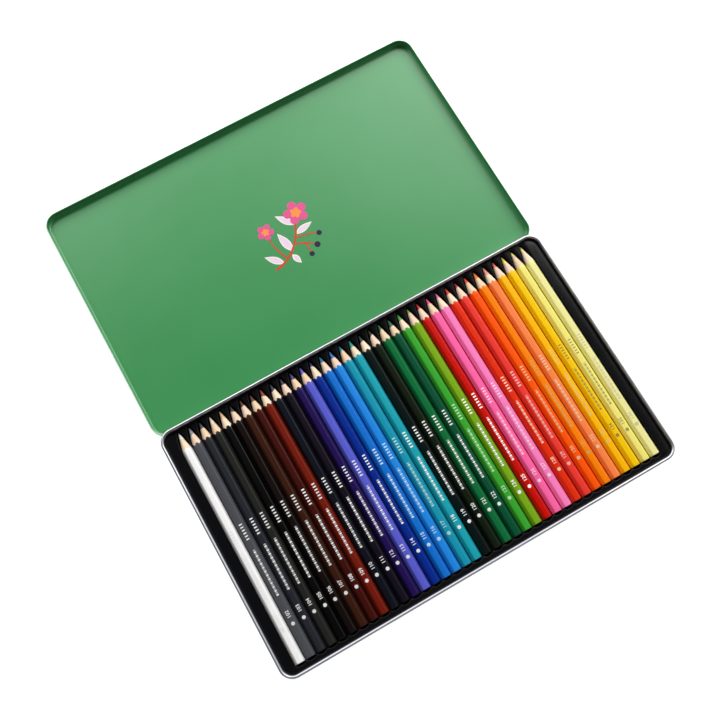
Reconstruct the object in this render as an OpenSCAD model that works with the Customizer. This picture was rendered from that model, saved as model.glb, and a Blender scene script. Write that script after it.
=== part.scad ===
// Flat hinged tin with one moulded tray and a row of hexagonal coloured pencils.
// The lid is drawn fully open, lying flat behind the base. Units are millimetres.
// The origin is the centre of the base's underside, +X runs along the tin and +Y towards the hinge.

/* [Pencils] */
// Length of a sharpened pencil
pencil_length = 176; // [160:1:190]
// Width across the flats of the hexagonal barrel
pencil_flats = 6.8; // [6.2:0.1:7]
// Diameter that rounds the barrel's six edges
pencil_rounding = 7.5; // [7.2:0.05:7.6]
// Distance between neighbouring pencils
pencil_pitch = 7.97; // [7.9:0.01:8.6]
// Diameter of the coloured lead
lead_diameter = 3; // [2.4:0.1:3.8]
// Radial glue gap between the lead and its bore
lead_gap = 0.05; // [0.02:0.01:0.1]
// Diameter of the blunt tip of the lead
tip_diameter = 0.8; // [0.4:0.1:1.4]
// Radius that the sharpened cone gains for each millimetre from the tip
point_slope = 0.235; // [0.2:0.005:0.3]

/* [Tray] */
// Thickness of the vacuum-formed sheet
tray_sheet = 0.5; // [0.4:0.05:0.7]
// Drop from the top of the tin's bead to the tray's flange
flange_drop = 3.8; // [3:0.1:4.5]
// Height of the pencils' top flats above the flange
pencil_rise = 1; // [0:0.1:1.4]
// Gap that seats each pencil over its groove
groove_gap = 0.25; // [0.15:0.05:0.4]
// Drop from the pencils' middle to the ridges between the grooves
ridge_drop = 1.2; // [0.9:0.1:1.6]
// Flat strip beside the first and the last groove
side_strip = 7.84; // [4:0.01:14]
// Flat strip in front of the grooves
front_strip = 3; // [2:0.1:8]
// Strip behind the tips, shoulder included
back_strip = 1.3; // [1.3:0.1:6]
// Room between the front of a groove and the end of its pencil
butt_room = 2; // [1.8:0.1:5]
// Room between a tip and the end of its niche
tip_room = 0.6; // [0.4:0.1:3]
// Radius of each groove's scalloped front end
scallop_radius = 5.5; // [5:0.1:8]
// Distance from the end of a niche to where its arch springs
arch_length = 13.3; // [12:0.1:14]
// Width of a niche where its arch springs
arch_width = 7.5; // [7.3:0.05:7.6]
// Radius of the round end of a niche
niche_radius = 1.2; // [1:0.05:1.6]
// Gap between the tray's flange and the tin's walls
tray_gap = 0.3; // [0.3:0.05:1]
// Outer radius of the shoulder between the tray's flange and its skirt
shoulder_radius = 0.7; // [0.6:0.05:0.8]
// Inward lean of the tray's skirt, from its shoulder to its foot
skirt_draft = 0.6; // [0.5:0.05:1]
// Gap that seats the tray's skirt over the tin's floor
seat_gap = 0.2; // [0.1:0.05:0.3]

/* [Tin] */
// Thickness of the tinplate
tin_sheet = 0.3; // [0.25:0.01:0.35]
// Height of the base, to the top of its bead
base_height = 12.5; // [12.3:0.1:16]
// Diameter of the rolled bead round the base's mouth
bead_diameter = 2.4; // [2:0.1:3]
// Radius of the base's corners, outside the bead
corner_radius = 10; // [8:0.5:16]
// Outer radius of the bend between the base's floor and its walls
floor_bend = 1.5; // [0.8:0.1:1.5]

/* [Lid] */
// Room between the base's bead and the panel of the closed lid
lid_headroom = 0.8; // [0.8:0.1:2]
// Gap between the lid's hem and the bead that it passes
lid_gap = 0.3; // [0.3:0.05:0.6]
// Thickness of the folded hem round the lid's rim
hem_thickness = 0.6; // [0.5:0.05:0.8]
// Height of the folded hem
hem_height = 1.5; // [1:0.1:1.8]
// Outer radius of the bend between the lid's panel and its skirt
lid_bend = 2.8; // [1.5:0.1:2.8]
// Distance between the two snap dimples in the front of the lid
dimple_spacing = 178; // [60:1:240]
// Length of a snap dimple
dimple_length = 12; // [6:0.5:20]
// Distance from the lid's rim down to the middle of a dimple
dimple_drop = 2.6; // [2.6:0.1:3]
// Radius of the dimple's rounded inner face
dimple_radius = 1; // [0.7:0.05:1.1]

/* [Hinges] */
// Distance between the middles of the two hinges
hinge_spacing = 180; // [60:1:220]
// Length of one hinge
hinge_length = 30; // [24:0.5:40]
// Length of each of the base's knuckles
base_knuckle = 8; // [5:0.5:9]
// Gap between neighbouring knuckles
knuckle_gap = 0.4; // [0.3:0.05:0.6]
// Diameter of the hinge wire
wire_diameter = 1.8; // [1.2:0.05:1.9]
// Radial running gap round the hinge wire
wire_gap = 0.05; // [0.02:0.01:0.1]
// Gap between the open lid's skirt and the base's back wall
open_gap = 0.3; // [0.3:0.05:0.5]
// Height of the leaf that carries each of the base's knuckles
leaf_height = 3; // [2.4:0.1:3.2]
// Reach of a leaf below the hinge axis
leaf_drop = 0.3; // [0.2:0.05:0.4]
// How far a knuckle stands out behind the closed lid
knuckle_proud = 0.05; // [0.02:0.01:0.1]

/* [Hidden] */
$fn = 48;
// A cut runs past the face it opens by this much
over = 0.1;
hex_turn = 30;

// Lacquer name and colour of each pencil, from the left
lacquers = [
    ["white", "#F1F1EE"], ["slate_grey", "#5F6A78"], ["dark_slate", "#3B4450"], ["charcoal", "#2B2D31"],
    ["black", "#161618"], ["umber", "#2A1B14"], ["dark_brown", "#452417"], ["maroon", "#571A1C"],
    ["brick_red", "#8E3322"], ["blue_black", "#151B2D"], ["purple_black", "#22172E"],
    ["dark_violet", "#35205C"], ["lavender", "#5A50C8"], ["ultramarine", "#0A2C9A"],
    ["blue", "#1A6CCB"], ["bright_blue", "#1E80D8"], ["teal", "#1590A8"], ["turquoise", "#189EA6"],
    ["pine_black", "#10302C"], ["olive_black", "#1C2A1A"], ["green", "#0E7038"],
    ["dark_green", "#0C5A34"], ["bright_green", "#2FA02C"], ["yellow_green", "#7AAE1C"],
    ["red", "#D0120C"], ["hot_pink", "#FF5A9C"], ["light_pink", "#FF72B4"], ["red_orange", "#DC2A0E"],
    ["coral_red", "#E43A30"], ["orange_red", "#FA500A"], ["orange", "#FF800A"], ["salmon", "#F8804A"],
    ["amber", "#FDB80A"], ["yellow", "#F6C80A"], ["pale_yellow", "#EEE070"], ["lemon", "#EEE890"]
];
count = len(lacquers);
function pencil_name(i) = str("pencil_", i < 9 ? "0" : "", i + 1, "_", lacquers[i][0]);
function pencil_x(i) = (i - (count - 1) / 2) * pencil_pitch;

// The tray's plan: strips, rooms and pencils added up
groove_span = count * pencil_pitch;
tray_width = groove_span + 2 * side_strip;
tray_depth = front_strip + butt_room + pencil_length + tip_room + back_strip;
groove_front = -tray_depth / 2 + front_strip;
butt_y = groove_front + butt_room;
niche_end = tray_depth / 2 - back_strip;
arch_y = niche_end - arch_length;
scallop_y = groove_front + scallop_radius;

// The base closes round the tray, and the bead stands outside its walls
inner_width = tray_width + 2 * tray_gap;
inner_depth = tray_depth + 2 * tray_gap;
base_width = inner_width + 2 * bead_diameter;
base_depth = inner_depth + 2 * bead_diameter;
wall_radius = corner_radius - bead_diameter;
wall_back = inner_depth / 2 + tin_sheet;

// Heights
flange_z = base_height - flange_drop;
pencil_z = flange_z + pencil_rise - pencil_flats / 2;
groove_apothem = pencil_flats / 2 + groove_gap;
groove_z = pencil_z - groove_apothem;
tray_foot = tin_sheet + seat_gap;

// The lid passes outside the bead and turns on an axis level with its own rim,
// so half the closed height is both its depth and the height of the axis
lid_depth = (base_height + lid_headroom + tin_sheet) / 2;
lid_width = base_width + 2 * (lid_gap + hem_thickness);
lid_reach = base_depth + 2 * (lid_gap + hem_thickness);
lid_radius = corner_radius + lid_gap + hem_thickness;
hinge_z = lid_depth;
hinge_y = (lid_reach / 2 + wall_back + open_gap) / 2;
lid_y = 2 * hinge_y;
knuckle_radius = lid_reach / 2 - hinge_y + knuckle_proud;
knuckle_bore = wire_diameter / 2 + wire_gap;
lid_knuckle = hinge_length - 2 * (base_knuckle + knuckle_gap);

// A rectangle with round corners, centred
module rounded_plate(width, depth, radius) {
    square([width - 2 * radius, depth], center = true);
    square([width, depth - 2 * radius], center = true);
    for (x = [-1, 1], y = [-1, 1])
        translate([x * (width / 2 - radius), y * (depth / 2 - radius)]) circle(radius);
}

// Carries its 2D child round a rectangle with round corners.
// The child's x counts outwards from the corners' centres, and its y is the height.
module carried_round(width, depth, radius) {
    for (turn = [0:3]) {
        reach = turn % 2 == 0 ? width : depth;
        run = turn % 2 == 0 ? depth : width;
        rotate(turn * 90) translate([reach / 2 - radius, 0]) {
            rotate([90, 0, 0]) linear_extrude(run - 2 * radius, center = true) children();
            translate([0, run / 2 - radius]) rotate_extrude(angle = 90) children();
        }
    }
}

// Quarter of a sheet's bend, from the flat at the bottom to the wall at the right
module sheet_bend(outer, sheet) {
    intersection() {
        difference() {
            circle(outer);
            circle(outer - sheet);
        }
        translate([0, -outer]) square(outer);
    }
}

// ---- Base ----

// Section of the base's wall: bend, wall and the outward roll of the bead
module base_section() {
    bead = bead_diameter / 2;
    translate([wall_radius + tin_sheet - floor_bend, floor_bend]) sheet_bend(floor_bend, tin_sheet);
    translate([wall_radius, floor_bend]) square([tin_sheet, base_height - bead - floor_bend]);
    translate([wall_radius + bead, base_height - bead]) difference() {
        circle(bead);
        circle(bead - tin_sheet);
        translate([-bead - over, -bead - over]) square(bead + over);
    }
}

// Two knuckles on a leaf that is joined to the back wall, for one hinge
module base_knuckles(x) {
    for (side = [-1, 1]) {
        middle = x + side * (hinge_length - base_knuckle) / 2;
        translate([middle, hinge_y, hinge_z]) rotate([0, 90, 0])
            cylinder(r = knuckle_radius, h = base_knuckle, center = true);
        translate([middle - base_knuckle / 2, wall_back - tin_sheet / 2, hinge_z - leaf_drop])
            cube([base_knuckle, open_gap + tin_sheet, leaf_height]);
    }
}

module base_pan() {
    floor_radius = wall_radius + tin_sheet - floor_bend;
    step = corner_radius - floor_radius;
    color("#DCDCE4") difference() {
        union() {
            linear_extrude(tin_sheet)
                rounded_plate(base_width - 2 * step, base_depth - 2 * step, floor_radius);
            carried_round(base_width, base_depth, corner_radius) base_section();
            for (side = [-1, 1]) base_knuckles(side * hinge_spacing / 2);
        }
        for (side = [-1, 1]) hinge_bore(side * hinge_spacing / 2);
    }
}

// ---- Lid ----

// Section of the lid's skirt: bend, wall and the hem folded inwards
module lid_section() {
    fold = hem_thickness / 2;
    translate([lid_radius - lid_bend, lid_bend]) sheet_bend(lid_bend, tin_sheet);
    translate([lid_radius - tin_sheet, lid_bend]) square([tin_sheet, lid_depth - hem_height - lid_bend]);
    translate([lid_radius - hem_thickness, lid_depth - hem_height])
        square([hem_thickness, hem_height - fold]);
    translate([lid_radius - fold, lid_depth - fold]) circle(fold);
}

// A bar with round ends, along X
module capsule(length, radius) {
    rotate([0, 90, 0]) cylinder(r = radius, h = length - 2 * radius, center = true);
    for (side = [-1, 1]) translate([side * (length / 2 - radius), 0, 0]) sphere(radius);
}

// Long dimple pressed into the skirt, which clicks under the base's bead
module at_dimples() {
    depth = hem_thickness - tin_sheet;
    for (side = [-1, 1])
        translate([
            side * dimple_spacing / 2,
            lid_y + lid_reach / 2 - tin_sheet - depth + dimple_radius,
            lid_depth - dimple_drop
        ]) children();
}

module dimple_swell() {
    intersection() {
        at_dimples() capsule(dimple_length, dimple_radius);
        translate([-lid_width / 2, lid_y, 0]) cube([lid_width, lid_reach / 2 - tin_sheet / 2, lid_depth]);
    }
}

module knuckle_notch(x) {
    for (side = [-1, 1]) {
        middle = x + side * (hinge_length - base_knuckle) / 2;
        clear = knuckle_radius + knuckle_gap;
        translate([middle - base_knuckle / 2 - knuckle_gap, hinge_y - clear, hinge_z - clear])
            cube([base_knuckle + 2 * knuckle_gap, 2 * clear, 2 * clear]);
    }
}

module hinge_bore(x) {
    translate([x, hinge_y, hinge_z]) rotate([0, 90, 0])
        cylinder(r = knuckle_bore, h = hinge_length + 2 * over, center = true);
}

module lid_pan() {
    panel_radius = lid_radius - lid_bend;
    color("#58A070") difference() {
        union() {
            translate([0, lid_y]) {
                linear_extrude(tin_sheet)
                    rounded_plate(lid_width - 2 * lid_bend, lid_reach - 2 * lid_bend, panel_radius);
                carried_round(lid_width, lid_reach, lid_radius) lid_section();
            }
            for (side = [-1, 1])
                translate([side * hinge_spacing / 2, hinge_y, hinge_z]) rotate([0, 90, 0])
                    cylinder(r = knuckle_radius, h = lid_knuckle, center = true);
            dimple_swell();
        }
        at_dimples() capsule(dimple_length - 2 * tin_sheet, dimple_radius - tin_sheet);
        for (side = [-1, 1]) {
            knuckle_notch(side * hinge_spacing / 2);
            hinge_bore(side * hinge_spacing / 2);
        }
    }
}

// ---- Hinge wires ----

module hinge_wire(x) {
    color("#B8B8BC") translate([x, hinge_y, hinge_z]) rotate([0, 90, 0])
        cylinder(d = wire_diameter, h = hinge_length, center = true);
}

// ---- Tray ----

// Plan of a niche round a tip: two long arcs that run smoothly into a small round end
module niche_plan(grow) {
    half = arch_width / 2;
    rise = arch_length - niche_radius;
    arc = (pow(half, 2) + pow(rise, 2) - pow(niche_radius, 2)) / (2 * (half - niche_radius));
    meet = rise + (niche_radius + grow) * rise / (arc - niche_radius);
    translate([0, rise]) circle(niche_radius + grow);
    intersection() {
        translate([-half - grow, 0]) square([arch_width + 2 * grow, meet]);
        translate([half - arc, 0]) circle(arc + grow);
        translate([arc - half, 0]) circle(arc + grow);
    }
}

// Plan of the grooves and of the niches round the tips, grown by the given amount
module pocket_plan(grow) {
    intersection() {
        translate([-groove_span / 2 - grow, groove_front - grow])
            square([groove_span + 2 * grow, niche_end - groove_front + 2 * grow]);
        union() {
            translate([-groove_span / 2 - grow, scallop_y])
                square([groove_span + 2 * grow, arch_y + grow - scallop_y]);
            for (i = [0:count - 1]) translate([pencil_x(i), 0]) {
                translate([0, scallop_y]) circle(scallop_radius + grow);
                translate([0, arch_y]) niche_plan(grow);
            }
        }
    }
}

// The folded floor's section: each groove runs down from its left ridge, across its flat and up
// to its right ridge, as the lower half of a hexagon about the pencil's middle
function fold_line(apothem, ridge) = [
    for (i = [0:count - 1], corner = [[-1, ridge], [-1, -apothem], [1, -apothem], [1, ridge]])
        let (reach = (2 * apothem + corner[1]) * tan(hex_turn))
        [pencil_x(i) + corner[0] * reach, pencil_z + corner[1]]
];

function reversed(points) = [for (i = [len(points) - 1:-1:0]) points[i]];

// The floor of the grooves: one folded sheet, cut to the pockets' plan
module folded_floor() {
    upper = fold_line(groove_apothem, -ridge_drop);
    lower = fold_line(groove_apothem + tray_sheet, -ridge_drop - tray_sheet);
    edge = groove_span / 2 + tray_sheet;
    left = [[-edge, pencil_z - ridge_drop - tray_sheet], [-edge, pencil_z - ridge_drop]];
    right = [[edge, pencil_z - ridge_drop], [edge, pencil_z - ridge_drop - tray_sheet]];
    intersection() {
        translate([0, niche_end + tray_sheet, 0]) rotate([90, 0, 0])
            linear_extrude(niche_end - groove_front + 2 * tray_sheet)
                polygon(concat(left, upper, right, reversed(lower)));
        linear_extrude(flange_z) pocket_plan(tray_sheet);
    }
}

// Section of the tray's edge: the shoulder and the leaning skirt below it
module tray_edge_section(radius) {
    foot = flange_z - shoulder_radius - tray_foot;
    translate([radius - shoulder_radius, flange_z - shoulder_radius]) mirror([0, 1])
        sheet_bend(shoulder_radius, tray_sheet);
    translate([radius, flange_z - shoulder_radius])
        polygon([[0, 0], [-tray_sheet, 0], [-tray_sheet - skirt_draft, -foot], [-skirt_draft, -foot]]);
}

module pencil_tray() {
    plate_radius = wall_radius - tray_gap;
    plate_width = tray_width - 2 * shoulder_radius;
    plate_depth = tray_depth - 2 * shoulder_radius;
    color("#1E1E20") {
        translate([0, 0, flange_z - tray_sheet]) linear_extrude(tray_sheet) difference() {
            rounded_plate(plate_width, plate_depth, plate_radius - shoulder_radius);
            pocket_plan(0);
        }
        carried_round(tray_width, tray_depth, plate_radius) tray_edge_section(plate_radius);
        translate([0, 0, groove_z - tray_sheet]) linear_extrude(flange_z - groove_z + tray_sheet)
            difference() {
                pocket_plan(tray_sheet);
                pocket_plan(0);
            }
        folded_floor();
    }
}

// ---- Pencils ----

// Half outline of a sharpened rod, from its butt at y = 0 to the blunt tip
module sharpened_outline(radius) {
    tip = tip_diameter / 2;
    shoulder = pencil_length - (radius - tip) / point_slope;
    polygon([[0, 0], [radius, 0], [radius, shoulder], [tip, pencil_length], [0, pencil_length]]);
}

module pencil(i) {
    translate([pencil_x(i), butt_y, pencil_z]) rotate([-90, 0, 0]) {
        color(lacquers[i][1]) difference() {
            intersection() {
                linear_extrude(pencil_length) circle(d = pencil_flats / cos(hex_turn), $fn = 6);
                rotate_extrude() sharpened_outline(pencil_rounding / 2);
            }
            translate([0, 0, -over])
                cylinder(r = lead_diameter / 2 + lead_gap, h = pencil_length + 2 * over);
        }
        color(lacquers[i][1]) rotate_extrude() sharpened_outline(lead_diameter / 2);
    }
}

base_pan();
lid_pan();
hinge_wire(-hinge_spacing / 2);  // hinge_wire_left
hinge_wire(hinge_spacing / 2);  // hinge_wire_right
pencil_tray();
for (i = [0:count - 1]) pencil(i);
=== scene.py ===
# Flat hinged tin of coloured pencils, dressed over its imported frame.
# Lengths in the dictionaries are millimetres and angles are degrees; the meshes are in metres.
import math
import bpy
import bmesh
import numpy as np
from mathutils import Matrix, Vector


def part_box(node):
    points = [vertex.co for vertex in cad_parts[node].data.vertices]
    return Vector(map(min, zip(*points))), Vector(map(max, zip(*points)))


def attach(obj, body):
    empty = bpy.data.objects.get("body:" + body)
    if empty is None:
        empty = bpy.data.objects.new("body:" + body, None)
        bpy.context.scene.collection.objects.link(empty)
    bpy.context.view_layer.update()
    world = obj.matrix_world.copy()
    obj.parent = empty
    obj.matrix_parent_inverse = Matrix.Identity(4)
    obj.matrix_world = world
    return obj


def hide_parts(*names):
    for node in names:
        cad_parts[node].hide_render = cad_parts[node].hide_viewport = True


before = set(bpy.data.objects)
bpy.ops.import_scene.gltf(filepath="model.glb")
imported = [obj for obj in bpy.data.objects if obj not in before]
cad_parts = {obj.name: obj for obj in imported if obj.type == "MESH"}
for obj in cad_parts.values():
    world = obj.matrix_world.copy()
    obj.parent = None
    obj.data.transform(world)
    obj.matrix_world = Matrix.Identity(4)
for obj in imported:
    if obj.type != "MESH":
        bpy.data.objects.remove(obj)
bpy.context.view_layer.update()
mm = 0.001
rng = np.random.default_rng(36)
pencilNodes = sorted(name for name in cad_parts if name.startswith("pencil_") and name != "pencil_tray")


def nodeBox(node):  # lowest and highest corner of a CAD node, in millimetres
    low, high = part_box(node)
    return np.array(low) / mm, np.array(high) / mm


# camera, paper sweep and the faint fill of the room
studio = {
    "cameraPlace": (-99.18, -97.54, 715.78), "cameraAim": (-3.02, 74.70, 0.0),
    "cameraUp": (0.47705, 0.83776, 0.26568), "focalLength": 52.0, "sensor": 36.0, "clip": (10.0, 50000.0),
    "softboxDistance": 2000.0, "softboxAim": (0, 80, 0),
    "sweepRadius": 6000.0, "sweepBend": 1200.0, "sweepHeight": 2400.0, "bendSteps": 8, "turnSteps": 64,
    # the floor's glow is painted light that hides the tin's shadow, and the far colour and wall glow paint
    # the sweep greyer and dimmer towards its walls
    "floorDrop": 0.15, "floorColor": "#F4F4F4", "farColor": "#C8C8CA", "floorGlow": 0.88, "wallGlow": 0.3,
    "glowRadii": (550.0, 6200.0), "skyColor": "#E8E8EC", "skyStrength": 0.05,
}
# each softbox hangs two metres off: bearing clockwise from +Y, tilt from overhead, width, height, watts
softboxes = {
    "backSoftbox": (-16, 50, 1200, 1500, 21), "cornerSoftbox": (20, 54, 1200, 1200, 11),
    "keySoftbox": (60, 53, 1200, 1400, 23), "sideSoftbox": (100, 50, 1000, 1200, 7),
    "overheadSoftbox": (38, 36, 800, 700, 6),
}


def linear(hexColor):  # sRGB hex to a linear colour with alpha 1
    values = np.array([int(hexColor[k:k + 2], 16) for k in (1, 3, 5)]) / 255
    return (*np.where(values <= 0.04045, values / 12.92, ((values + 0.055) / 1.055) ** 2.4), 1.0)


def addNode(material, kind, inputs=(), **settings):
    # adds one node; inputs maps socket names or numbers to values or to other nodes' outputs, and
    # on a colour mix 0 is the factor and 6 and 7 are the two colours
    node = material.node_tree.nodes.new(kind)
    for key, value in settings.items():
        setattr(node, key, value)
    for key, value in dict(inputs).items():
        if isinstance(value, bpy.types.NodeSocket):
            material.node_tree.links.new(value, node.inputs[key])
        else:
            node.inputs[key].default_value = value
    return node


def newFinish(name):
    # an empty material, and the Object coordinates that its patterns read
    material = bpy.data.materials.new(name)
    material.use_nodes = True
    material.node_tree.nodes.clear()
    return material, addNode(material, "ShaderNodeTexCoord").outputs["Object"]


def aimed(thing, place, aim, up=(0, 1, 0)):
    # turns a camera or a lamp so that it looks from place to aim
    back = (Vector(place) - Vector(aim)).normalized()
    right = Vector(up).cross(back).normalized()
    turned = Matrix((right, back.cross(right), back)).transposed().to_4x4()
    thing.matrix_world = Matrix.Translation(Vector(place) * mm) @ turned
    bpy.context.scene.collection.objects.link(thing)
    return thing


def floorFinish():
    # Matt white paper sweep that glows: the glow is strongest round the tin, painted light that hides
    # its shadow, and the glow fades and the paper turns greyer towards its walls, a painted dimming
    finish, place = newFinish("matt_white_paper")
    away = addNode(finish, "ShaderNodeVectorMath", {0: place}, operation="LENGTH")
    near, far = studio["glowRadii"]
    # painted light: the paper glows, most round the tin, so that the tin's shadow hardly shows
    glow = addNode(finish, "ShaderNodeMapRange", {
        "Value": away.outputs["Value"], "From Min": near * mm, "From Max": far * mm,
        "To Min": studio["floorGlow"], "To Max": studio["wallGlow"]}, interpolation_type="SMOOTHSTEP")
    distance = addNode(finish, "ShaderNodeMapRange", {
        "Value": away.outputs["Value"], "From Min": near * mm, "From Max": far * mm})
    # painted shade: the paper's colour turns greyer towards the walls
    shade = addNode(finish, "ShaderNodeMix", {0: distance.outputs[0], 6: linear(studio["floorColor"]),
                                              7: linear(studio["farColor"])}, data_type="RGBA")
    paper = addNode(finish, "ShaderNodeBsdfPrincipled", {
        "Base Color": shade.outputs[2], "Roughness": 0.9,
        "Emission Color": linear(studio["floorColor"]), "Emission Strength": glow.outputs[0]})
    addNode(finish, "ShaderNodeOutputMaterial", {"Surface": paper.outputs[0]})
    return finish


def makeStudio():
    lens = bpy.data.cameras.new("mainCamera")
    lens.lens, lens.sensor_width = studio["focalLength"], studio["sensor"]
    lens.clip_start, lens.clip_end = studio["clip"][0] * mm, studio["clip"][1] * mm
    camera = aimed(bpy.data.objects.new("mainCamera", lens), studio["cameraPlace"],
                   studio["cameraAim"], studio["cameraUp"])
    bpy.context.scene.camera = camera
    aim = Vector(studio["softboxAim"])
    for name, (bearing, tilt, width, height, power) in softboxes.items():
        bearing, tilt = math.radians(bearing), math.radians(tilt)
        away = Vector((math.sin(tilt) * math.sin(bearing), math.sin(tilt) * math.cos(bearing),
                       math.cos(tilt)))
        lamp = bpy.data.lights.new(name, "AREA")
        lamp.shape, lamp.size, lamp.size_y, lamp.energy = "RECTANGLE", width * mm, height * mm, power
        aimed(bpy.data.objects.new(name, lamp), aim + away * studio["softboxDistance"], aim, (0, 0, 1))
    world = bpy.data.worlds.new("studioRoom")
    world.use_nodes = True
    room = world.node_tree.nodes["Background"]
    room.inputs["Color"].default_value = linear(studio["skyColor"])
    room.inputs["Strength"].default_value = studio["skyStrength"]
    bpy.context.scene.world = world
    bpy.context.scene.view_settings.view_transform = "Standard"


def gridQuads(rows, columns, wrapRows=False, wrapColumns=False):
    # four corners of each cell of a grid whose points are numbered row by row
    r = np.arange(rows if wrapRows else rows - 1)[:, None]
    c = np.arange(columns if wrapColumns else columns - 1)[None, :]
    below, beside = (r + 1) % rows, (c + 1) % columns
    corners = (r * columns + c, r * columns + beside, below * columns + beside, below * columns + c)
    return np.stack([np.broadcast_to(k, (r.size, c.size)).ravel() for k in corners], axis=1)


def makePiece(name, points, quads, finishes, finishOfQuad=None, sharpAngle=40.0, closed=True):
    # welds points that meet, drops faces that shrank to a line, and gives the mesh its finishes
    points = np.asarray(points, float).reshape(-1, 3)
    quads = np.asarray(quads)
    _, first, merged = np.unique(np.round(points, 4), axis=0, return_index=True, return_inverse=True)
    quads = merged.ravel()[quads]
    which = np.zeros(len(quads), int) if finishOfQuad is None else np.asarray(finishOfQuad)
    repeats = quads == np.roll(quads, -1, axis=1)
    kept = repeats.sum(axis=1) <= 1
    faces = [[corner for corner, again in zip(quad, twin) if not again]
             for quad, twin in zip(quads[kept].tolist(), repeats[kept].tolist())]
    mesh = bpy.data.meshes.new(name)
    mesh.from_pydata((points[first] * mm).tolist(), [], faces)
    for finish in finishes:
        mesh.materials.append(finish)
    mesh.polygons.foreach_set("material_index", which[kept].astype(np.int32))
    if closed:
        sheet = bmesh.new()
        sheet.from_mesh(mesh)
        bmesh.ops.recalc_face_normals(sheet, faces=sheet.faces)
        sheet.to_mesh(mesh)
        sheet.free()
    mesh.shade_smooth()
    mesh.set_sharp_from_angle(angle=math.radians(sharpAngle))
    piece = bpy.data.objects.new(name, mesh)
    bpy.context.scene.collection.objects.link(piece)
    return piece


def slabPiece(name, outlines, low, high, finish, place, step=0.0):
    # thin plates: each outline, a ring of (x, y) points, is a flat top and bottom joined by a side,
    # each a step higher than the last; place turns the (x, y, z) points to where they lie
    points, faces, start = [], [], 0
    for layer, outline in enumerate(outlines):
        size = len(outline)
        for level in (low, high + layer * step):
            points.append(np.column_stack([outline, np.full(size, level)]))
        lower, upper = start + np.arange(size), start + size + np.arange(size)
        faces += [lower[::-1].tolist(), upper.tolist()]
        faces += np.column_stack([lower, np.roll(lower, -1), np.roll(upper, -1), upper]).tolist()
        start += 2 * size
    mesh = bpy.data.meshes.new(name)
    mesh.from_pydata((place(np.concatenate(points)) * mm).tolist(), [], faces)
    mesh.materials.append(finish)
    piece = bpy.data.objects.new(name, mesh)
    bpy.context.scene.collection.objects.link(piece)
    return piece


def makeSweep():
    # paper sweep: a flat disc whose edge bends up into a wall all round, a profile turned about +Z
    bend, radius = studio["sweepBend"], studio["sweepRadius"]
    turn = np.radians(np.linspace(0, 90, studio["bendSteps"] + 1))
    out = np.concatenate([[0, radius - bend], radius - bend + bend * np.sin(turn), [radius]])
    up = np.concatenate([[0, 0], bend * (1 - np.cos(turn)), [studio["sweepHeight"]]]) - studio["floorDrop"]
    around = np.linspace(0, 2 * math.pi, studio["turnSteps"], endpoint=False)[None, :]
    points = np.stack([out[:, None] * np.cos(around), out[:, None] * np.sin(around),
                       up[:, None] + 0 * around], axis=-1)
    floor = makePiece("floor", points, gridQuads(out.size, around.size, wrapColumns=True),
                      [floorFinish()], closed=False)


makeStudio()
makeSweep()
print("studio: camera, softboxes and floor")


def tinplateFinish():
    # Bright tinplate: rolled steel with a mirror-like tin coat, so it shows the room as soft bands;
    # its rolling streaks are 0.25 mm wide and 7 mm long
    finish, place = newFinish("bright_tinplate")
    rolled = addNode(finish, "ShaderNodeMapping", {"Vector": place, "Scale": (150, 4000, 4000)})
    streak = addNode(finish, "ShaderNodeTexNoise", {
        "Vector": rolled.outputs[0], "Scale": 1.0, "Detail": 3.0})
    rough = addNode(finish, "ShaderNodeMapRange", {
        "Value": streak.outputs[0], "To Min": 0.24, "To Max": 0.36})
    shade = addNode(finish, "ShaderNodeMix", {0: streak.outputs[0], 6: linear("#B2B4BA"),
                                              7: linear("#C8C9CE")}, data_type="RGBA")
    surface = addNode(finish, "ShaderNodeBsdfPrincipled", {
        "Base Color": shade.outputs[2], "Metallic": 1.0, "Roughness": rough.outputs[0]})
    addNode(finish, "ShaderNodeOutputMaterial", {"Surface": surface.outputs[0]})
    return finish


def enamelFinish():
    # Green stoving enamel, roller-coated on tinplate: even colour, half gloss, and a faint orange
    # peel of 1 mm, with clouds of 55 mm in the colour
    finish, place = newFinish("green_stoving_enamel")
    cloud = addNode(finish, "ShaderNodeTexNoise", {"Vector": place, "Scale": 18.0, "Detail": 2.0})
    shade = addNode(finish, "ShaderNodeMix", {0: cloud.outputs[0], 6: linear("#34884A"),
                                              7: linear("#3E9054")}, data_type="RGBA")
    peel = addNode(finish, "ShaderNodeTexNoise", {"Vector": place, "Scale": 900.0, "Detail": 1.0})
    bump = addNode(finish, "ShaderNodeBump", {
        "Height": peel.outputs[0], "Strength": 0.05, "Distance": 0.0002})
    surface = addNode(finish, "ShaderNodeBsdfPrincipled", {
        "Base Color": shade.outputs[2], "Roughness": 0.28, "Specular IOR Level": 0.4,
        "Normal": bump.outputs[0], "Coat Weight": 0.12, "Coat Roughness": 0.22})
    addNode(finish, "ShaderNodeOutputMaterial", {"Surface": surface.outputs[0]})
    return finish


def hemHighlightFinish():
    # Painted highlight where the sheet is folded over: the hem's crown is paler green, in patches of 4 mm
    finish, place = newFinish("hem_crown_painted_highlight")
    highlightPatches = addNode(finish, "ShaderNodeTexNoise", {"Vector": place, "Scale": 260.0, "Detail": 3.0})
    # painted highlight: two pale greens for the hem's crown
    shade = addNode(finish, "ShaderNodeMix", {0: highlightPatches.outputs[0], 6: linear("#9CC8A8"),
                                              7: linear("#C0DCC6")}, data_type="RGBA")
    surface = addNode(finish, "ShaderNodeBsdfPrincipled", {
        "Base Color": shade.outputs[2], "Roughness": 0.4})
    addNode(finish, "ShaderNodeOutputMaterial", {"Surface": surface.outputs[0]})
    return finish


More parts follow.
